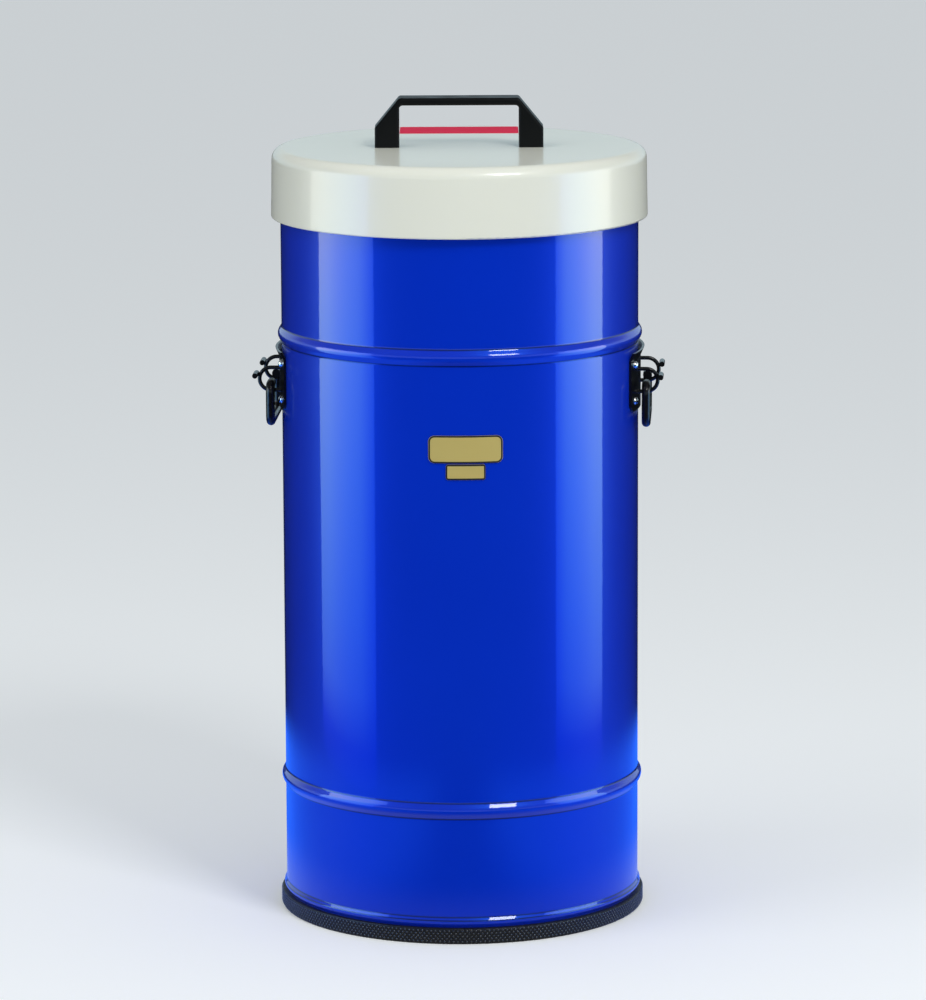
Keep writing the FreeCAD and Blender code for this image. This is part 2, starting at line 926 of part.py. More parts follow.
def curved_plate(label, width, bottom, height, corner):
    """Thin plate that lies on the casing's front."""
    body = new_body(label)
    outer = plate_inner + size("badge_thickness")
    facing_front = size("badge_turn") + FRONT
    items = rectangle(plate_inner, bottom, outer, bottom + height)
    turned(body, items, angle=angle_across(width, outer), turn=facing_front)
    thickness = size("badge_thickness").value

    def across_the_plate(edge):
        is_line = edge.Curve.TypeId == "Part::GeomLine"
        return is_line and abs(edge.Length - thickness) < 0.01

    rounded_edges(body, "corners", corner, across_the_plate)
    return body


# Side handles: each is modelled at +X and turned into place. The casing with its rivet holes turns too

def make_handle_plate(label, turn):
    """Curved plate with a flared upper edge and four rivet holes."""
    body = new_body(label, turn)
    bottom = size("plate_level") - size("plate_drop")
    top = size("plate_level") + size("plate_rise")
    flare = size("plate_flare")
    flare_start = top - size("plate_flare_height")
    bend = size("plate_thickness") * 1.5
    items = [
        (plate_inner, bottom),
        (plate_outer, bottom),
        (plate_outer, flare_start, bend),
        (plate_outer + flare, top),
        (plate_inner + flare, top),
        (plate_inner, flare_start, bend),
    ]
    turned(body, items, angle=angle_across(size("plate_width"), plate_outer))
    low = bottom.value

    def lower_corner(edge):
        is_line = edge.Curve.TypeId == "Part::GeomLine"
        return is_line and edge.BoundBox.ZMax < low + 0.01

    rounded_edges(body, "corners", size("plate_corner"), lower_corner)
    mirrored(body, rivet_holes(body), "XZ_Plane")
    return body


def make_handle_rivets(label, turn):
    """Four domed rivets through the plate and the casing."""
    body = new_body(label, turn)
    shank = size("rivet_radius")
    head = size("rivet_head_radius")
    head_height = size("rivet_head_height")
    tail = size("rivet_tail_radius")
    tail_outer = casing_inner - fit_gap
    tail_inner = tail_outer - size("rivet_tail_height")
    level = size("plate_level") - size("rivet_rise")
    dome = (head * head + head_height * head_height) / (head_height * 2)
    items = [
        (plate_outer + head_height, level),
        Arc(plate_outer + head_height - dome, level),
        (plate_outer, level + head),
        (plate_outer, level + shank),
        (tail_outer, level + shank),
        (tail_outer, level + tail),
        (tail_inner, level + tail, tail * 0.3),
        (tail_inner, level),
    ]
    rivet = turned_about_edge(body, items, turn=rivet_angle)
    row = doc.addObject("PartDesign::LinearPattern", label + "_rows")
    body.addObject(row)
    row.Direction = (plane_of(body, "Z_Axis"), [""])
    bind(row, "Length", size("rivet_rise") * 2)
    row.Occurrences = 2
    across = doc.addObject("PartDesign::Mirrored", label + "_across")
    body.addObject(across)
    across.MirrorPlane = (plane_of(body, "XZ_Plane"), [""])
    group = body.newObject("PartDesign::MultiTransform", label + "_copies")
    group.Originals = [rivet]
    group.Transformations = [row, across]
    body.Tip = group
    return body


staple_centre = plate_outer + size("staple_reach")
staple_level = size("plate_level") + size("staple_lift")
pivot_level = (staple_level - size("staple_radius") + size("staple_wire")
               + size("bail_radius") + size("running_gap"))


def make_handle_staples(label, turn):
    """Two bent wire staples, coped to the plate, with a stop pin welded across each."""
    body = new_body(label, turn)
    radius = size("staple_radius")
    wire = size("staple_wire")
    spread = size("staple_spread")
    start = casing_radius - size("staple_reach")
    spine = outlined(body, "spine", [
        (start, staple_level + radius),
        (staple_centre, staple_level + radius),
        Arc(staple_centre, staple_level),
        (staple_centre + radius, staple_level),
        Arc(staple_centre, staple_level),
        (staple_centre, staple_level - radius),
        (start, staple_level - radius),
    ], closed=False, lift=spread)
    section = with_circles(body, "section", [(-spread, staple_level + radius, wire)],
                           role="YZ_Plane", lift=start)
    bent = feature(body, "AdditivePipe", "bent", section)
    bent.Spine = (spine, ["Edge%d" % (index + 1) for index in range(4)])
    doc.recompute()
    stop = size("stop_radius")
    reach = radius + wire + stop - size("stop_weld")
    stop_x = staple_centre + cosine(size("stop_angle")) * reach
    stop_z = staple_level + sine(size("stop_angle")) * reach
    stop_end = spread - (wire + stop * 0.5)
    circle = with_circles(body, "stop_circle", [(stop_x, stop_z, stop)], lift=stop_end)
    padded(body, circle, size("stop_length"), name="stop")
    doc.recompute()
    full = body.Shape.Volume
    low = staple_level - radius * 2
    high = staple_level + radius * 2
    cope_outline = outlined(body, "cope_outline", rectangle(start - radius, low, plate_outer, high))
    cope = feature(body, "Groove", "cope", cope_outline)
    cope.ReferenceAxis = (cope_outline, ["V_Axis"])
    cope.Angle = 360
    doc.recompute()
    if body.Shape.Volume >= full:
        raise RuntimeError("the staples of %s are not coped" % label)
    second = body.newObject("PartDesign::Mirrored", label + "_second")
    second.Originals = [bent]
    second.MirrorPlane = (plane_of(body, "XZ_Plane"), [""])
    second.TransformMode = "Whole shape"
    body.Tip = second
    return body


def make_handle_bail(label, turn):
    """Bent rod with inward-turned ends that hang in the staples."""
    body = new_body(label, turn)
    spread = size("bail_spread")
    end = size("bail_end")
    bend = size("bail_bend")
    low = pivot_level - size("bail_drop")
    spine = outlined(body, "spine", [
        (-end, pivot_level),
        (-spread, pivot_level, bend),
        (-spread, low, bend),
        (spread, low, bend),
        (spread, pivot_level, bend),
        (end, pivot_level),
    ], closed=False, role="YZ_Plane", lift=staple_centre)
    section = with_circles(body, "section", [(staple_centre, pivot_level, size("bail_radius"))], lift=end)
    bent = feature(body, "AdditivePipe", "bent", section)
    bent.Spine = (spine, ["Edge%d" % (index + 1) for index in range(9)])
    doc.recompute()
    return body


make_outer_shell()
make_base_trim()
make_base_plate()
make_glass_flask()
make_base_cushion()
make_centring_ring()
make_neck_collar()
make_lid_cover()
make_lid_foam()
make_lid_liner()
make_lid_handle()
make_lid_handle_screws()
make_lid_handle_washers()
make_lid_label()

badge_bottom = size("badge_level") - size("badge_height") / 2
rating_bottom = badge_bottom - size("badge_spacing") - size("rating_height")
curved_plate("nameplate", size("badge_width"), badge_bottom, size("badge_height"), size("badge_corner"))
curved_plate("rating_plate", size("rating_width"), rating_bottom, size("rating_height"), size("rating_corner"))

for side_name, half_turn in (("right", 0), ("left", 180)):
    side_turn = size("handle_turn") + half_turn
    make_handle_plate(side_name + "_handle_plate", side_turn)
    make_handle_rivets(side_name + "_handle_rivets", side_turn)
    make_handle_staples(side_name + "_handle_staples", side_turn)
    make_handle_bail(side_name + "_handle_bail", side_turn)

doc.recompute()

for item in doc.Objects:
    if "Invalid" in item.State or "Error" in item.State:
        raise RuntimeError("%s did not build: %s" % (item.Label, item.State))

os.makedirs("parts", exist_ok=True)
for body in parts:
    shape = body.Shape
    if shape.isNull() or not shape.isValid():
        raise RuntimeError("%s has no valid shape" % body.Label)
    shape.exportStep(os.path.join("parts", body.Label + ".step"))
    box = shape.BoundBox
    print("%-22s solids %d volume %.0f mm3, z %.1f to %.1f" % (
        body.Label, len(shape.Solids), shape.Volume, box.ZMin, box.ZMax))
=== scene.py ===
# %% [markdown]
# A tall insulated vessel for a laboratory: a blue lacquered casing with rolled beads, a silvered glass flask
# inside it, a cream lid with a black bow handle, and a drop handle on each side.
# The hard parts come ready made, each at its own place, and are only given their finishes here.
# What is too fine for them, the grain of the foot trim and the printed line round each plate, is added as
# meshes of its own.

# %% Load the vessel
import math

import bmesh
import bpy
from mathutils import Matrix, Vector


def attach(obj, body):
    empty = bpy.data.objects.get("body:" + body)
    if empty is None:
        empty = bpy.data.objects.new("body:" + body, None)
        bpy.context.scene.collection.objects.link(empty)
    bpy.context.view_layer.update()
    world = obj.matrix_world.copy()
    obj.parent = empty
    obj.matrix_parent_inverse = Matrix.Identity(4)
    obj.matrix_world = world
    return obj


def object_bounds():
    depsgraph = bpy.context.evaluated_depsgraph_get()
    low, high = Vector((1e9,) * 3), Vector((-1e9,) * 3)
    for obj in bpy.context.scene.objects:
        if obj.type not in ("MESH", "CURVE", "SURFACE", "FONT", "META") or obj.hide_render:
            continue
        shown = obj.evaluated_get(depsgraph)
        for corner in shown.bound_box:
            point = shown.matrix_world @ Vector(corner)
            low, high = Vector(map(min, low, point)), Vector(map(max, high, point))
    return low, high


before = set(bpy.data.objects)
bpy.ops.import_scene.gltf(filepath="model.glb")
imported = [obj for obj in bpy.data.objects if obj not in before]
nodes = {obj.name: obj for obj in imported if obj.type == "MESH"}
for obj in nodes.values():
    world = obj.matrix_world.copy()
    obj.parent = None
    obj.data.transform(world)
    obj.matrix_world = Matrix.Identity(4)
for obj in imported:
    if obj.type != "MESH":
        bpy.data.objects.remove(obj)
first_low, first_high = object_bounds()
vessel_height = first_high.z - first_low.z
print("loaded", len(nodes), "parts, height", round(vessel_height, 4), "m")

# %% [markdown]
# Materials, lamps, the sky and the foot trim are all drawn as trees of nodes. A few helpers place the nodes
# that come up again and again, so that each tree reads like the sum that it works out. A value given to
# them is either a plain number or colour, or the output of another node.

# %% Helpers for node trees


def put_in_scene(name, data):
    """A new object with this data, linked to the scene."""
    thing = bpy.data.objects.new(name, data)
    bpy.context.scene.collection.objects.link(thing)
    return thing


def feed(tree, value, socket):
    """Link an output to the socket, or write a plain value on it."""
    if isinstance(value, bpy.types.NodeSocket):
        tree.links.new(value, socket)
    else:
        socket.default_value = value


def maths(tree, operation, *values):
    """The result of one sum."""
    node = tree.nodes.new("ShaderNodeMath")
    node.operation = operation
    for value, socket in zip(values, node.inputs):
        feed(tree, value, socket)
    return node.outputs[0]


def spread(tree, value, start, end, first=0.0, last=1.0, smooth=False):
    """The stretch from start to end, spread over first to last and held beyond its ends."""
    node = tree.nodes.new("ShaderNodeMapRange")
    if smooth:
        node.interpolation_type = "SMOOTHSTEP"
    feed(tree, value, node.inputs["Value"])
    feed(tree, start, node.inputs["From Min"])
    feed(tree, end, node.inputs["From Max"])
    feed(tree, first, node.inputs["To Min"])
    feed(tree, last, node.inputs["To Max"])
    return node.outputs["Result"]


def mix_colours(tree, share, first, second, kind="MIX"):
    """The first colour, with this share of the second one in it."""
    node = tree.nodes.new("ShaderNodeMix")
    node.data_type = "RGBA"
    node.blend_type = kind
    feed(tree, share, node.inputs["Factor"])
    feed(tree, first, node.inputs["A"])
    feed(tree, second, node.inputs["B"])
    return node.outputs["Result"]


def split(tree, vector):
    """The X, Y and Z outputs of a vector."""
    node = tree.nodes.new("ShaderNodeSeparateXYZ")
    tree.links.new(vector, node.inputs[0])
    return node.outputs


def object_place(tree):
    """Where a point lies on its own object. It doesn't change when the object moves."""
    return tree.nodes.new("ShaderNodeTexCoord").outputs["Object"]


print("node helpers are ready")

# %% [markdown]
# The picture was taken with a long lens from a little above the lid, so the camera stands far away and
# looks down gently. Its place, its lens and its small roll were fitted to the outline in the photograph.

# %% Camera
CAMERA_DISTANCE = 4.3115
CAMERA_HEIGHT = 1.1329
SENSOR_WIDTH = 36.0
LENS = 193.0
FARTHEST_SEEN = 100.0
CAMERA_ROLL = math.radians(-0.25)
AIM = Vector((0.0019, 0.0, 0.335))

camera_data = bpy.data.cameras.new("studio_camera")
camera_data.sensor_fit = "AUTO"
camera_data.sensor_width = SENSOR_WIDTH
camera_data.lens = LENS
camera_data.clip_end = FARTHEST_SEEN
camera = put_in_scene("studio_camera", camera_data)
camera.location = (0.0, -CAMERA_DISTANCE, CAMERA_HEIGHT)
look = (AIM - camera.location).to_track_quat("-Z", "Y").to_matrix().to_4x4()
roll = Matrix.Rotation(CAMERA_ROLL, 4, "Z")
camera.matrix_world = Matrix.Translation(camera.location) @ look @ roll
bpy.context.scene.camera = camera
bpy.context.scene.view_settings.view_transform = "Standard"
print("camera", round((AIM - camera.location).length, 3), "m from its aim")

# %% [markdown]
# The floor is plain and pale. Glossy things mirror it only near the vessel: farther out the room is dark,
# as in a studio, and that keeps the lacquer deep and saturated. A pool of blue light lies on the floor on
# each side. The pools show in reflections only, and brighten the sides of the casing near its foot.

# %% Floor
FLOOR_SIZE = 60.0
FLOOR_COLOUR = (0.87, 0.89, 0.89, 1.0)
FLOOR_ROUGHNESS = 0.6
FLOOR_GLOW = 0.14
ROOM_COLOUR = (0.012, 0.014, 0.02, 1.0)
ROOM_RADIUS = 0.35
POOL_COLOUR = (0.02, 0.15, 1.0, 1.0)
POOL_RADIANCE = 1.7
POOL_INNER_RADIUS = 0.6
POOL_OUTER_RADIUS = 0.8
POOL_STARTS = 0.05
POOL_IS_FULL = 0.3


def make_floor():
    mesh = bpy.data.meshes.new("floor")
    half = FLOOR_SIZE / 2
    corners = [(-half, -half, 0), (half, -half, 0), (half, half, 0), (-half, half, 0)]
    mesh.from_pydata(corners, [], [(0, 1, 2, 3)])
    mesh.materials.append(make_floor_paint())
    return put_in_scene("floor", mesh)


def make_floor_paint():
    """Pale for the eye. In reflections it is dark away from the vessel, with a blue pool on each side."""
    material = bpy.data.materials.new("floor_paint")
    material.use_nodes = True
    tree = material.node_tree
    shader = tree.nodes["Principled BSDF"].inputs
    shader["Roughness"].default_value = FLOOR_ROUGHNESS
    shader["Specular IOR Level"].default_value = 0.0
    place = object_place(tree)
    reach = tree.nodes.new("ShaderNodeVectorMath")
    reach.operation = "LENGTH"
    tree.links.new(place, reach.inputs[0])
    radius = reach.outputs["Value"]
    path = tree.nodes.new("ShaderNodeLightPath").outputs
    mirrored = path["Is Glossy Ray"]
    dark = maths(tree, "MULTIPLY", spread(tree, radius, 0.0, ROOM_RADIUS, smooth=True), mirrored)
    feed(tree, mix_colours(tree, dark, FLOOR_COLOUR, ROOM_COLOUR), shader["Base Color"])
    glow = maths(tree, "MULTIPLY", path["Is Camera Ray"], FLOOR_GLOW)
    strength = maths(tree, "MULTIPLY_ADD", blue_pools(tree, place, radius), mirrored, glow)
    feed(tree, strength, shader["Emission Strength"])
    feed(tree, mix_colours(tree, mirrored, FLOOR_COLOUR, POOL_COLOUR), shader["Emission Color"])
    return material


def blue_pools(tree, place, radius):
    """Radiance of the two pools, from a place on the floor and its distance from the middle."""
    beside = maths(tree, "ABSOLUTE", split(tree, place)["X"])
    side = spread(tree, beside, POOL_STARTS, POOL_IS_FULL, smooth=True)
    rim = spread(tree, radius, POOL_INNER_RADIUS, POOL_OUTER_RADIUS, POOL_RADIANCE, 0.0, smooth=True)
    return maths(tree, "MULTIPLY", side, rim)


make_floor()
print("the floor is in place")

# %% [markdown]
# The sky is pale and bright for the eye, and weaker as a lamp. In reflections it is bright near the horizon,
# which the top of the lid mirrors, and weak higher up. How high a ray looks is told by the sine of its angle
# above the horizon.

# %% Sky
SKY_COLOUR = (0.86, 0.90, 0.94, 1.0)
SKY_SEEN = 0.95
SKY_LIGHT = 0.62
SKY_MIRRORED = 0.2
HORIZON_COLOUR = (0.66, 0.88, 1.0, 1.0)
HORIZON_MIRRORED = 0.72
HORIZON_SINE = 0.23
HAZE_SINE = 0.36


def make_sky():
    world = bpy.data.worlds.new("sky")
    world.use_nodes = True
    tree = world.node_tree
    background = tree.nodes["Background"].inputs
    path = tree.nodes.new("ShaderNodeLightPath").outputs
    mirrored = path["Is Glossy Ray"]
    direction = tree.nodes.new("ShaderNodeTexCoord").outputs["Generated"]
    low = spread(tree, split(tree, direction)["Z"], HORIZON_SINE, HAZE_SINE, 1.0, 0.0, smooth=True)
    low_mirrored = maths(tree, "MULTIPLY", low, mirrored)
    feed(tree, mix_colours(tree, low_mirrored, SKY_COLOUR, HORIZON_COLOUR), background["Color"])
    seen = maths(tree, "MAXIMUM", path["Is Camera Ray"], path["Is Transmission Ray"])
    in_mirrors = spread(tree, low, 0.0, 1.0, SKY_MIRRORED, HORIZON_MIRRORED)
    unseen = spread(tree, mirrored, 0.0, 1.0, SKY_LIGHT, in_mirrors)
    feed(tree, spread(tree, seen, 0.0, 1.0, unseen, SKY_SEEN), background["Strength"])
    return world


bpy.context.scene.world = make_sky()
print("the sky is in place")

# %% [markdown]
# A tall soft box stands on each side, out of view. Their mirror images are the pale upright bands on the
# lacquer. The cloth of each box is pale and bright at the top, and gets bluer and dimmer towards the floor,
# so the bands turn to a deep azure and fade out above the lower bead. It also gets bluer towards its near
# end, which softens the inner edge of each band. Both gradients run over the lamp's own face, in its node
# tree. The boxes are there for their reflections only.

# %% Soft boxes
BOX_RADIANCE = 5.3
BOX_HEIGHT = 0.68
LEFT_BOX_PLAN = ((-0.487, -0.401), (-0.7565, 0.0495))
RIGHT_BOX_PLAN = ((0.5856, -0.373), (0.679, 0.055))
UP = Vector((0, 0, 1))
FROM_FLOOR_TO_TOP = (
    (0.0, (0.0, 0.0, 0.15)),
    (0.048, (0.013, 0.02, 0.5)),
    (0.126, (0.11, 0.28, 0.86)),
    (0.226, (0.15, 0.4, 0.94)),
    (0.412, (0.27, 0.58, 0.98)),
    (0.6, (0.45, 0.76, 1.0)),
    (0.8, (0.72, 0.84, 1.0)),
)
FROM_FAR_TO_NEAR = (
    (0.0, (1.0, 0.82, 0.63)),
    (0.25, (0.94, 0.82, 0.63)),
    (0.45, (0.74, 0.7, 0.63)),
    (0.6, (0.58, 0.64, 0.66)),
    (0.8, (0.42, 0.55, 0.68)),
    (1.0, (0.1, 0.2, 0.8)),
)


def area_lamp(name, place, facing, width, height, radiance):
    """Rectangular lamp of a given radiance. The facing is the direction in which it shines."""
    lamp = bpy.data.lights.new(name, "AREA")
    lamp.shape = "RECTANGLE"
    lamp.size = width
    lamp.size_y = height
    lamp.energy = radiance * math.pi * width * height
    hung = put_in_scene(name, lamp)
    hung.location = place
    hung.rotation_euler = facing.to_track_quat("-Z", "Y").to_euler()
    return hung


def colour_ramp(tree, value, stops):
    """Ramp over a value, from stops of a position and a colour."""
    ramp = tree.nodes.new("ShaderNodeValToRGB")
    elements = ramp.color_ramp.elements
    elements[0].position = stops[0][0]
    elements[1].position = stops[-1][0]
    for position, colour in stops[1:-1]:
        elements.new(position)
    for element, (position, colour) in zip(elements, stops):
        element.color = colour + (1.0,)
    tree.links.new(value, ramp.inputs["Fac"])
    return ramp.outputs["Color"]


def colour_cloth(lamp, far_is_last):
    """The two ramps multiplied. The second starts at the far end, whichever way the lamp's X runs."""
    lamp.use_nodes = True
    tree = lamp.node_tree
    cloth = split(tree, tree.nodes.new("ShaderNodeNewGeometry").outputs["Parametric"])
    across = maths(tree, "SUBTRACT", 1.0, cloth["X"]) if far_is_last else cloth["X"]
    upright = colour_ramp(tree, cloth["Y"], FROM_FLOOR_TO_TOP)
    sideways = colour_ramp(tree, across, FROM_FAR_TO_NEAR)
    both = mix_colours(tree, 1.0, upright, sideways, kind="MULTIPLY")
    feed(tree, both, tree.nodes["Emission"].inputs["Color"])


def soft_box(name, plan):
    """Upright cloth that stands on the floor, over the line from its near end to its far end."""
    near, far = (Vector(end + (0.0,)) for end in plan)
    along = far - near
    facing = along.cross(UP)
    if facing.dot(near + far) > 0:
        facing = -facing
    place = (near + far) / 2 + UP * BOX_HEIGHT / 2
    box = area_lamp(name, place, facing, along.length, BOX_HEIGHT, BOX_RADIANCE)
    box.visible_diffuse = False
    colour_cloth(box.data, facing.cross(UP).dot(along) > 0)


soft_box("left_soft_box", LEFT_BOX_PLAN)
soft_box("right_soft_box", RIGHT_BOX_PLAN)
print("soft boxes stand on both sides")

# %% [markdown]
# The key lamp hangs in front on the right, and its mirror image is the bright glint on each bead. A weak
# fill lamp on the left opens the shadows and isn't mirrored anywhere. Both look down at the middle of the
# vessel from the same height.

# %% Key lamp and fill lamp
LAMP_ELEVATION = math.radians(44)
LAMP_DISTANCE = 2.5
KEY_RADIANCE = 16.5
KEY_AZIMUTH = math.radians(31)
KEY_SIZE = 0.65
FILL_RADIANCE = 2.0
FILL_AZIMUTH = math.radians(-62)
FILL_SIZE = 1.2


def high_lamp(name, azimuth, size, radiance):
    """Square lamp above eye level. The azimuth is counted from the front."""
    middle = UP * vessel_height / 2
    away = Vector((
        math.sin(azimuth) * math.cos(LAMP_ELEVATION),
        -math.cos(azimuth) * math.cos(LAMP_ELEVATION),
        math.sin(LAMP_ELEVATION),
    ))
    return area_lamp(name, middle + away * LAMP_DISTANCE, -away, size, size, radiance)


high_lamp("key_lamp", KEY_AZIMUTH, KEY_SIZE, KEY_RADIANCE)
fill_lamp = high_lamp("fill_lamp", FILL_AZIMUTH, FILL_SIZE, FILL_RADIANCE)
fill_lamp.visible_glossy = False

# %% [markdown]
# Every finish below starts from the same few steps: a shader, a noise that varies it a little, and a bump
# that gives the surface its grain. Helpers keep them in one place. Values that are the same all over the
# surface are written on the shader itself.

# %% Helpers for finishes
NOISE_LOW = 0.3
NOISE_HIGH = 0.7
EVEN = (1, 1, 1)


def new_finish(name, colour, metallic=0.0, roughness=0.4, coat=0.0, coat_roughness=0.03, specular=0.5):
    """A material whose shader has its plain values set. Gives the material, its tree and the shader."""
    material = bpy.data.materials.new(name)
    material.use_nodes = True
    shader = material.node_tree.nodes["Principled BSDF"].inputs
    shader["Base Color"].default_value = colour + (1.0,)
    shader["Metallic"].default_value = metallic
    shader["Roughness"].default_value = roughness
    shader["Coat Weight"].default_value = coat
    shader["Coat Roughness"].default_value = coat_roughness
    shader["Specular IOR Level"].default_value = specular
    return material, material.node_tree, shader


def object_noise(tree, fineness, detail=2.0, stretch=EVEN):
    """Noise fixed to the object. It gets finer as the fineness grows, and along each axis by the stretch."""
    mapping = tree.nodes.new("ShaderNodeMapping")
    mapping.inputs["Scale"].default_value = stretch
    noise = tree.nodes.new("ShaderNodeTexNoise")
    noise.inputs["Scale"].default_value = fineness
    noise.inputs["Detail"].default_value = detail
    tree.links.new(object_place(tree), mapping.inputs["Vector"])
    tree.links.new(mapping.outputs["Vector"], noise.inputs["Vector"])
    return noise.outputs["Fac"]


def add_bump(tree, shader, height, depth, coat_too=True):
    """Bump from a height between 0 and 1, with its depth in metres."""
    bump = tree.nodes.new("ShaderNodeBump")
    bump.inputs["Distance"].default_value = depth
    tree.links.new(height, bump.inputs["Height"])
    tree.links.new(bump.outputs["Normal"], shader["Normal"])
    if coat_too:
        tree.links.new(bump.outputs["Normal"], shader["Coat Normal"])


def vary_roughness(tree, shader, noise, low, high):
    """Roughness that wanders between two values."""
    feed(tree, spread(tree, noise, NOISE_LOW, NOISE_HIGH, low, high), shader["Roughness"])


def vary_colour(tree, shader, noise, first, second):
    """Colour that wanders between two tones."""
    tone = mix_colours(tree, noise, first + (1.0,), second + (1.0,))
    feed(tree, tone, shader["Base Color"])
    return tone


def coat_part(name, material):
    """Give a ready-made part this finish only."""
    mesh = nodes[name].data
    mesh.materials.clear()
    mesh.materials.append(material)


print("finish helpers are ready")

# %% [markdown]
# The casing is sprayed with a deep ultramarine gloss lacquer. Real lacquer has a clear skin with a faint
# orange peel, a millimetre or two across, that makes the edge of a reflection swim a little. The rolled
# sheet under it is not quite true either, which a second, much larger noise stands for.
#
# Painted shade darkens the creases beside each bead, standing in for the shade that falls in them. Those
# lines are masks on the height, because a crease goes all the way round at one level.

# %% Blue lacquer
CREASE_LEVELS = (0.4815, 0.4685, 0.115, 0.102, 0.0212, 0.0187)
CREASE_REACH = 0.0011
# Colour of the painted shade in the creases.
CREASE_SHADE_COLOUR = (0.0001, 0.003, 0.07, 1.0)
LACQUER_COLOUR = (0.0004, 0.024, 0.54)
LACQUER_DEEP = (0.0003, 0.022, 0.52)
LACQUER_BRIGHT = (0.0005, 0.025, 0.56)
LACQUER_GLOW = (0.02, 0.2, 1.0, 1.0)
PEEL_SHARE = 0.012
LACQUER_RELIEF = 0.0006


def painted_crease_shade_mask(tree):
    """One on each crease line, and nothing a reach away from it."""
    height = split(tree, object_place(tree))["Z"]
    mask = 0.0
    for level in CREASE_LEVELS:
        away = maths(tree, "ABSOLUTE", maths(tree, "SUBTRACT", height, level))
        line = spread(tree, away, 0.0, CREASE_REACH, 1.0, 0.0, smooth=True)
        mask = maths(tree, "MAXIMUM", mask, line)
    return mask


def make_blue_lacquer():
    material, tree, shader = new_finish(
        "blue_lacquer", LACQUER_COLOUR, roughness=0.34, coat=1.0, coat_roughness=0.04, specular=0.9)
    shader["Specular Tint"].default_value = LACQUER_GLOW
    tone = vary_colour(tree, shader, object_noise(tree, fineness=9.0), LACQUER_DEEP, LACQUER_BRIGHT)
    # Painted shade: the base colour turns dark along each crease line.
    crease_shaded = mix_colours(tree, painted_crease_shade_mask(tree), tone, CREASE_SHADE_COLOUR)
    feed(tree, crease_shaded, shader["Base Color"])
    peel = object_noise(tree, fineness=420.0, detail=1.0)
    sheet = object_noise(tree, fineness=7.0, detail=1.0, stretch=(1, 1, 0.4))
    relief = maths(tree, "ADD", sheet, maths(tree, "MULTIPLY", peel, PEEL_SHARE))
    add_bump(tree, shader, relief, LACQUER_RELIEF)
    return material


coat_part("outer_shell", make_blue_lacquer())
print("the casing is lacquered, with", len(CREASE_LEVELS), "creases")

# %% [markdown]
# The lid is moulded in a glossy cream plastic. Its surface is smooth, with a slight unevenness from the
# mould, and light sinks a little way into it.

# %% Cream lid
CREAM = (0.79, 0.80, 0.70)
CREAM_DEEP = (0.78, 0.79, 0.69)
CREAM_BRIGHT = (0.80, 0.81, 0.712)


def make_cream_plastic():
    material, tree, shader = new_finish(
        "cream_plastic", CREAM, roughness=0.3, coat=0.32, coat_roughness=0.05)
    vary_colour(tree, shader, object_noise(tree, fineness=14.0), CREAM_DEEP, CREAM_BRIGHT)
    shader["Subsurface Weight"].default_value = 0.08
    shader["Subsurface Radius"].default_value = (0.004, 0.004, 0.003)
    shader["Subsurface Scale"].default_value = 0.5
    add_bump(tree, shader, object_noise(tree, fineness=30.0), depth=0.00012)
    return material


coat_part("lid_cover", make_cream_plastic())
print("the lid is cream")

# %% [markdown]
# The bow handle is a black moulding with a fine satin grain, which catches light along its rounded edges.
# The collar on the neck is moulded in the same plastic.

# %% Black moulding


def make_black_moulding():
    material, tree, shader = new_finish(
        "black_moulding", (0.0025, 0.0028, 0.003), roughness=0.36, specular=0.16)
    vary_roughness(tree, shader, object_noise(tree, fineness=60.0), low=0.32, high=0.42)
    add_bump(tree, shader, object_noise(tree, fineness=1800.0), depth=0.00006, coat_too=False)
    return material


black_moulding = make_black_moulding()
for name in ("lid_handle", "neck_collar"):
    coat_part(name, black_moulding)
print("handle and collar are black")

# %% [markdown]
# The side handles are steel with a hard black enamel. It is glossier than the plastic, and small runs in
# it bend the highlights on the wire.

# %% Black enamel


def make_black_enamel():
    material, tree, shader = new_finish(
        "black_enamel", (0.004, 0.004, 0.005), roughness=0.3, coat=0.5, coat_roughness=0.04,
        specular=0.15)
    vary_roughness(tree, shader, object_noise(tree, fineness=90.0), low=0.25, high=0.4)
    add_bump(tree, shader, object_noise(tree, fineness=260.0), depth=0.00025)
    return material


black_enamel = make_black_enamel()
for side in ("left", "right"):
    for piece in ("handle_plate", "handle_staples", "handle_bail"):
        coat_part(side + "_" + piece, black_enamel)
print("side handles are enamelled")

# %% [markdown]
# The rivets are bare bright metal with fine marks of the setting tool. Screws and washers are a duller
# zinc, and the base plate is plain rolled aluminium, with its grain drawn out along one direction.

# %% Metals
GRAIN_FINER_THAN_STAINS = 3


def make_metal(name, colour, roughness, fineness, relief, stretch=EVEN):
    material, tree, shader = new_finish(name, colour, metallic=1.0)
    stains = object_noise(tree, fineness, detail=3.0, stretch=stretch)
    grain = object_noise(tree, fineness * GRAIN_FINER_THAN_STAINS, stretch=stretch)
    vary_roughness(tree, shader, stains, *roughness)
    add_bump(tree, shader, grain, relief, coat_too=False)
    return material


bright_metal = make_metal(
    "bright_rivet_metal", (0.88, 0.87, 0.84), roughness=(0.14, 0.26), fineness=700.0, relief=0.00003)
zinc_metal = make_metal(
    "zinc", (0.62, 0.63, 0.64), roughness=(0.3, 0.45), fineness=400.0, relief=0.00004)
rolled_aluminium = make_metal(
    "rolled_aluminium", (0.78, 0.78, 0.79), roughness=(0.3, 0.42), fineness=60.0, relief=0.00004,
    stretch=(1, 14, 1))
for name in ("left_handle_rivets", "right_handle_rivets"):
    coat_part(name, bright_metal)
for name in ("lid_handle_screws", "lid_handle_washers"):
    coat_part(name, zinc_metal)
coat_part("base_plate", rolled_aluminium)
print("metal parts are finished")

# %% [markdown]
# The flask is silvered inside its vacuum, so from above it looks like a mirror under a layer of glass.
# The silver shows slightly uneven, with a faint warm tone where it is thin. A pure mirror in so deep a well
# would only show itself, over and over, and turn dark, so a part of the shine scatters.

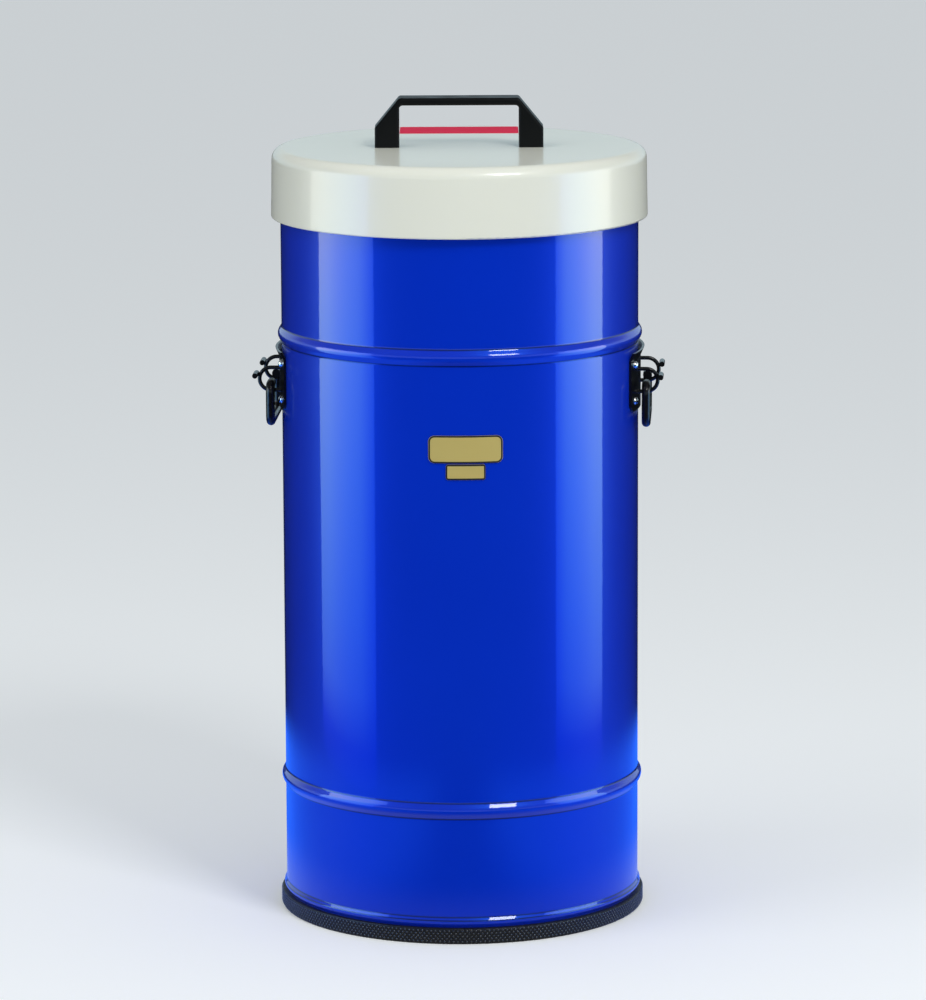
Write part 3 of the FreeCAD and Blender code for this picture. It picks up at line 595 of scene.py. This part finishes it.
# %% Silvered glass
THIN_SILVER = (0.86, 0.85, 0.82)
THICK_SILVER = (0.95, 0.96, 0.96)


def make_silvered_glass():
    material, tree, shader = new_finish(
        "silvered_glass", (0.9, 0.91, 0.9), metallic=0.4, roughness=0.06, coat=1.0, coat_roughness=0.01)
    vary_colour(tree, shader, object_noise(tree, fineness=6.0, detail=4.0), THIN_SILVER, THICK_SILVER)
    vary_roughness(tree, shader, object_noise(tree, fineness=18.0, detail=3.0), low=0.04, high=0.12)
    add_bump(tree, shader, object_noise(tree, fineness=5.0), depth=0.0008)
    return material


coat_part("glass_flask", make_silvered_glass())
print("the flask is silvered")

# %% [markdown]
# Inside the lid a block of cream foam does the insulating, under a thin formed skin. The flask stands on
# a foam cup, and a grey foam band keeps it off the casing. Foam is matt and full of small cells.

# %% Foam and skin
CELL_FINENESS = 700.0
CELL_DEPTH = 0.0006


def make_foam(name, first, second):
    material, tree, shader = new_finish(name, first, roughness=0.9, specular=0.2)
    cells = tree.nodes.new("ShaderNodeTexVoronoi")
    cells.inputs["Scale"].default_value = CELL_FINENESS
    tree.links.new(object_place(tree), cells.inputs["Vector"])
    vary_colour(tree, shader, object_noise(tree, fineness=40.0, detail=4.0), first, second)
    add_bump(tree, shader, cells.outputs["Distance"], CELL_DEPTH, coat_too=False)
    return material


def make_formed_skin():
    material, tree, shader = new_finish("formed_skin", (0.82, 0.82, 0.78), roughness=0.35, coat=0.2)
    vary_roughness(tree, shader, object_noise(tree, fineness=20.0), low=0.3, high=0.45)
    add_bump(tree, shader, object_noise(tree, fineness=90.0), depth=0.0003)
    return material


cream_foam = make_foam("cream_foam", (0.72, 0.66, 0.5), (0.8, 0.76, 0.62))
grey_foam = make_foam("grey_foam", (0.12, 0.12, 0.13), (0.2, 0.2, 0.21))
for name in ("lid_foam", "base_cushion"):
    coat_part(name, cream_foam)
coat_part("centring_ring", grey_foam)
coat_part("lid_liner", make_formed_skin())
print("foam and skin are finished")

# %% [markdown]
# The label on the lid is a plain red film, printed and almost matt. The plates on the front are gold
# anodised sheet, brushed along their length, and stay blank.

# %% Label and plates
RED = (0.70, 0.008, 0.06)
RED_DEEP = (0.68, 0.007, 0.055)
RED_BRIGHT = (0.72, 0.010, 0.065)


def make_red_film():
    material, tree, shader = new_finish("red_film", RED, roughness=0.5, specular=0.03)
    vary_colour(tree, shader, object_noise(tree, fineness=80.0), RED_DEEP, RED_BRIGHT)
    add_bump(tree, shader, object_noise(tree, fineness=120.0), depth=0.00005)
    return material


def make_gold_sheet():
    material, tree, shader = new_finish("gold_sheet", (0.80, 0.63, 0.2), metallic=0.45)
    streaks = object_noise(tree, fineness=300.0, detail=3.0, stretch=(0.2, 1, 6))
    brushing = object_noise(tree, fineness=700.0, stretch=(0.1, 1, 6))
    vary_roughness(tree, shader, streaks, low=0.3, high=0.42)
    add_bump(tree, shader, brushing, depth=0.00002, coat_too=False)
    return material


coat_part("lid_label", make_red_film())
gold_sheet = make_gold_sheet()
for name in ("nameplate", "rating_plate"):
    coat_part(name, gold_sheet)
print("label and plates are finished")

# %% [markdown]
# A black line is printed round the edge of each plate, and as painted shade it also stands for the dark edge
# of the plate's thickness. It is a thin closed ring, drawn flat and then wrapped onto the round of the
# casing. The long sides get points along their length too, because a side that had none would cut straight
# through the plate.

# %% Printed lines
PLATE_FACE_RADIUS = 0.14585
PLATE_TURN = math.radians(1.6)
PRINT_HEIGHT = 0.00012
PRINT_WIDTH = 0.0012
PRINT_INSET = 0.00005
SMALLEST_CORNER = 0.0003
CORNER_STEPS = 8
SIDE_STEPS = 12
QUARTER_TURN = math.radians(90)


def rounded_loop(width, height, corner, inset):
    """Points of a rounded rectangle about the origin, a distance inside the edge."""
    radius = max(corner - inset, SMALLEST_CORNER)
    centre_x = width / 2 - inset - radius
    centre_y = height / 2 - inset - radius
    points = []
    for number, (side, end) in enumerate(((1, 1), (-1, 1), (-1, -1), (1, -1))):
        for step in range(CORNER_STEPS + 1):
            angle = QUARTER_TURN * (number + step / CORNER_STEPS)
            points.append((side * centre_x + radius * math.cos(angle),
                           end * centre_y + radius * math.sin(angle)))
        ends_at_a_long_side = number % 2 == 0
        if ends_at_a_long_side:
            start_x, level = points[-1]
            points += [(start_x * (1 - 2 * step / SIDE_STEPS), level) for step in range(1, SIDE_STEPS)]
    return points


def wrapped(point, level, lift):
    """A flat point laid on the front of the casing."""
    angle = point[0] / PLATE_FACE_RADIUS + PLATE_TURN
    radius = PLATE_FACE_RADIUS + lift
    return Vector((radius * math.sin(angle), -radius * math.cos(angle), level + point[1]))


def turn_outwards(mesh):
    """Make every face of a closed mesh point outwards."""
    shape = bmesh.new()
    shape.from_mesh(mesh)
    bmesh.ops.recalc_face_normals(shape, faces=shape.faces)
    shape.to_mesh(mesh)
    shape.free()


def print_and_edge_shade_line(name, width, height, corner, level, material):
    """Closed ring that follows the edge of a plate, with its lower half sunk into it."""
    outer = rounded_loop(width, height, corner, PRINT_INSET)
    inner = rounded_loop(width, height, corner, PRINT_INSET + PRINT_WIDTH)
    section = (
        (outer, -PRINT_HEIGHT),
        (outer, PRINT_HEIGHT),
        (inner, PRINT_HEIGHT),
        (inner, -PRINT_HEIGHT),
    )
    vertices = [wrapped(point, level, lift) for loop, lift in section for point in loop]
    count = len(outer)
    faces = []
    for ring in range(len(section)):
        here = ring * count
        there = (ring + 1) % len(section) * count
        for index in range(count):
            after = (index + 1) % count
            faces.append((here + index, here + after, there + after, there + index))
    mesh = bpy.data.meshes.new(name)
    mesh.from_pydata(vertices, [], faces)
    mesh.materials.append(material)
    turn_outwards(mesh)
    line = put_in_scene(name, mesh)
    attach(line, "casing")


def make_ink_and_edge_shade():
    material, tree, shader = new_finish("ink_and_edge_shade", (0.012, 0.011, 0.01), roughness=0.4)
    vary_roughness(tree, shader, object_noise(tree, fineness=300.0), low=0.35, high=0.5)
    return material


# The black line is print, and also painted shade along the edge of each plate.
ink_and_edge_shade = make_ink_and_edge_shade()
print_and_edge_shade_line("nameplate_line", width=0.059, height=0.022, corner=0.005, level=0.4023, material=ink_and_edge_shade)
print_and_edge_shade_line("rating_plate_line", width=0.0316, height=0.0124, corner=0.002, level=0.3841,
             material=ink_and_edge_shade)
print("a line is printed round each plate")

# %% [markdown]
# The foot trim is black edging with an embossed grain: rows of small pips, each row half a step on from
# the one below. A roller with a dotted pattern presses them in while the strip is still warm. Geometry
# nodes set the pips on a grid that is bent round the foot, because thousands of equal domes are one recipe
# and not a job for the hand. Each dome is a flattened ball with few faces, half of it sunk in the trim.

# %% Foot trim
TRIM_RADIUS = 0.14895
PIP_RISE = 0.0005
PIP_RADIUS = 0.001
PIP_SEGMENTS = 8
PIP_RINGS = 5
PIPS_ROUND = 260
PIP_ROWS = 5
PIP_LOWEST = 0.0022
PIP_HIGHEST = 0.0108
ROW_STAGGER = 0.5
PIP_SETTINGS = (
    ("Ring radius", "NodeSocketFloat", TRIM_RADIUS),
    ("Pip radius", "NodeSocketFloat", PIP_RADIUS),
    ("Pip rise", "NodeSocketFloat", PIP_RISE),
    ("Pips round", "NodeSocketInt", PIPS_ROUND),
    ("Rows", "NodeSocketInt", PIP_ROWS),
    ("Lowest", "NodeSocketFloat", PIP_LOWEST),
    ("Highest", "NodeSocketFloat", PIP_HIGHEST),
)


def combine(tree, **axes):
    """A vector from the axes that are given. The others are nothing."""
    node = tree.nodes.new("ShaderNodeCombineXYZ")
    for axis, value in axes.items():
        tree.links.new(value, node.inputs[axis])
    return node.outputs[0]


def pip_points(group, given):
    """Points on the bent grid, and the angle of each one round the ring."""
    points = group.nodes.new("GeometryNodePoints")
    feed(group, maths(group, "MULTIPLY", given["Pips round"], given["Rows"]), points.inputs["Count"])
    index = group.nodes.new("GeometryNodeInputIndex").outputs[0]
    row = maths(group, "FLOOR", maths(group, "DIVIDE", index, given["Pips round"]))
    stagger = maths(group, "MULTIPLY", maths(group, "MODULO", row, 2.0), ROW_STAGGER)
    step = maths(group, "ADD", maths(group, "MODULO", index, given["Pips round"]), stagger)
    angle = maths(group, "DIVIDE", maths(group, "MULTIPLY", step, math.tau), given["Pips round"])
    share = maths(group, "DIVIDE", row, maths(group, "SUBTRACT", given["Rows"], 1.0))
    span = maths(group, "SUBTRACT", given["Highest"], given["Lowest"])
    level = maths(group, "ADD", given["Lowest"], maths(group, "MULTIPLY", share, span))
    across = maths(group, "MULTIPLY", maths(group, "COSINE", angle), given["Ring radius"])
    deep = maths(group, "MULTIPLY", maths(group, "SINE", angle), given["Ring radius"])
    move = group.nodes.new("GeometryNodeSetPosition")
    feed(group, points.outputs[0], move.inputs["Geometry"])
    feed(group, combine(group, X=across, Y=deep, Z=level), move.inputs["Position"])
    return move.outputs[0], angle


def pip_dome(group):
    """Ball with a radius of one and few faces."""
    dome = group.nodes.new("GeometryNodeMeshUVSphere")
    dome.inputs["Radius"].default_value = 1.0
    dome.inputs["Segments"].default_value = PIP_SEGMENTS
    dome.inputs["Rings"].default_value = PIP_RINGS
    return dome.outputs["Mesh"]


def make_pip_group(material):
    """Node group: rows of domes round a ring, every other row half a step on."""
    group = bpy.data.node_groups.new("pips_round_a_ring", "GeometryNodeTree")
    for name, kind, value in PIP_SETTINGS:
        setting = group.interface.new_socket(name, in_out="INPUT", socket_type=kind)
        setting.default_value = value
    group.interface.new_socket("Geometry", in_out="OUTPUT", socket_type="NodeSocketGeometry")
    given = group.nodes.new("NodeGroupInput").outputs
    result = group.nodes.new("NodeGroupOutput")
    points, angle = pip_points(group, given)
    size = combine(group, X=given["Pip rise"], Y=given["Pip radius"], Z=given["Pip radius"])
    scatter = group.nodes.new("GeometryNodeInstanceOnPoints")
    feed(group, points, scatter.inputs["Points"])
    feed(group, pip_dome(group), scatter.inputs["Instance"])
    feed(group, size, scatter.inputs["Scale"])
    feed(group, combine(group, Z=angle), scatter.inputs["Rotation"])
    real = group.nodes.new("GeometryNodeRealizeInstances")
    feed(group, scatter.outputs[0], real.inputs[0])
    paint = group.nodes.new("GeometryNodeSetMaterial")
    paint.inputs["Material"].default_value = material
    feed(group, real.outputs[0], paint.inputs["Geometry"])
    feed(group, paint.outputs[0], result.inputs[0])
    return group


def grown_mesh(name, group):
    """Run a node group on an empty mesh and keep the result as a plain mesh."""
    carrier = put_in_scene(name + "_carrier", bpy.data.meshes.new(name + "_carrier"))
    modifier = carrier.modifiers.new("grow", "NODES")
    modifier.node_group = group
    view = bpy.context.evaluated_depsgraph_get()
    mesh = bpy.data.meshes.new_from_object(carrier.evaluated_get(view), depsgraph=view)
    bpy.data.objects.remove(carrier)
    mesh.name = name
    for polygon in mesh.polygons:
        polygon.use_smooth = True
    return put_in_scene(name, mesh)


def make_edge_rubber():
    material, tree, shader = new_finish(
        "edge_rubber", (0.006, 0.006, 0.008), roughness=0.42, specular=0.35)
    vary_roughness(tree, shader, object_noise(tree, fineness=200.0), low=0.36, high=0.5)
    add_bump(tree, shader, object_noise(tree, fineness=900.0), depth=0.0003, coat_too=False)
    return material


def make_pip_gloss():
    material, tree, shader = new_finish(
        "pip_gloss", (0.006, 0.006, 0.008), roughness=0.16, specular=1.0)
    vary_roughness(tree, shader, object_noise(tree, fineness=330.0), low=0.05, high=0.3)
    return material


coat_part("base_trim", make_edge_rubber())
trim_pips = grown_mesh("trim_pips", make_pip_group(make_pip_gloss()))
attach(trim_pips, "casing")
print("foot trim:", len(trim_pips.data.polygons), "faces of pips")

# %% [markdown]
# The last cell prints a closing line.

# %% Finish
print("the vessel is dressed")
